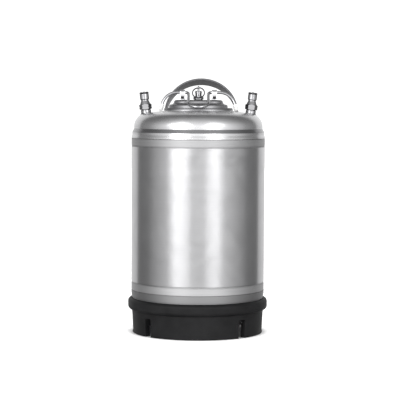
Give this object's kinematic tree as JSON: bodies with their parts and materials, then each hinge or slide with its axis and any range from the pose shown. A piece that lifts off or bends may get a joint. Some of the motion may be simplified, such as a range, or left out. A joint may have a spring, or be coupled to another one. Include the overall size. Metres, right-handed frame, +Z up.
{
  "type": "ball lock keg",
  "caption": "Slim upright steel drink keg with a rubber boot, an oval lid clamped by a wire bail, a pull-ring relief valve, ball lock gas and liquid posts, and a strap handle.",
  "frame": {"origin": "on the floor, under the middle of the keg", "axes": "+Z up along the keg's axis, -Y towards the front that the picture shows, +X to the right"},
  "size_m": [0.2264, 0.2264, 0.4124],
  "materials": {
    "satin_steel": "satin stainless sheet",
    "bright_steel": "polished stainless",
    "spring_steel": "drawn spring wire",
    "boot_rubber": "moulded black rubber",
    "seal_rubber": "smooth black rubber",
    "white_nylon": "translucent white plastic sleeve"
  },
  "bodies": {
    "keg": {"body_shell": "satin_steel", "top_head": "satin_steel", "bottom_head": "satin_steel", "base_boot": "boot_rubber", "carry_handle": "satin_steel", "gas_plug_adapter": "satin_steel", "liquid_plug_adapter": "satin_steel", "gas_post": "bright_steel", "liquid_post": "bright_steel", "gas_post_o_ring": "seal_rubber", "liquid_post_o_ring": "seal_rubber", "gas_dip_tube": "satin_steel", "liquid_dip_tube": "satin_steel", "gas_tube_o_ring": "seal_rubber", "liquid_tube_o_ring": "seal_rubber", "gas_poppet_spring": "spring_steel", "liquid_poppet_spring": "spring_steel"},
    "lid": {"lid_plate": "bright_steel", "lid_seal": "seal_rubber", "bail_brackets": "bright_steel", "relief_valve_body": "bright_steel", "relief_valve_cap": "bright_steel", "relief_valve_spring": "spring_steel", "relief_gasket": "seal_rubber", "relief_lock_nut": "bright_steel"},
    "bail": {"bail_wire": "bright_steel", "bail_feet": "white_nylon"},
    "relief_stem": {"relief_valve_stem": "bright_steel", "relief_valve_seal": "seal_rubber"},
    "pull_ring": {"relief_pull_ring": "bright_steel"},
    "gas_valve": {"gas_poppet": "bright_steel", "gas_poppet_seal": "seal_rubber"},
    "liquid_valve": {"liquid_poppet": "bright_steel", "liquid_poppet_seal": "seal_rubber"}
  },
  "joints": [
    {"name": "lid_drop", "type": "slide", "parent": "keg", "child": "lid", "axis": [0, 0, -1], "range_m": [0, 0.01]},
    {"name": "bail_lift", "type": "hinge", "parent": "lid", "child": "bail", "pos_m": [0, 0, 0.38884], "axis": [-1, 0, 0], "range_deg": [0, 115]},
    {"name": "relief_lift", "type": "slide", "parent": "lid", "child": "relief_stem", "axis": [0, 0, 1], "range_m": [0, 0.0025], "stiffness_N_per_m": 600, "deforming": ["relief_valve_spring"]},
    {"name": "ring_swing", "type": "hinge", "parent": "relief_stem", "child": "pull_ring", "pos_m": [0, 0, 0.39644], "axis": [-1, 0, 0], "range_deg": [0, 180]},
    {"name": "gas_valve_push", "type": "slide", "parent": "keg", "child": "gas_valve", "axis": [0.1097, 0, -0.994], "range_m": [0, 0.004], "stiffness_N_per_m": 250, "deforming": ["gas_poppet_spring"]},
    {"name": "liquid_valve_push", "type": "slide", "parent": "keg", "child": "liquid_valve", "axis": [-0.1097, 0, -0.994], "range_m": [0, 0.004], "stiffness_N_per_m": 250, "deforming": ["liquid_poppet_spring"]}
  ],
  "couplings": [
    {"joint": "bail_lift", "follows": "lid_drop", "rad_per_m": 200}
  ]
}
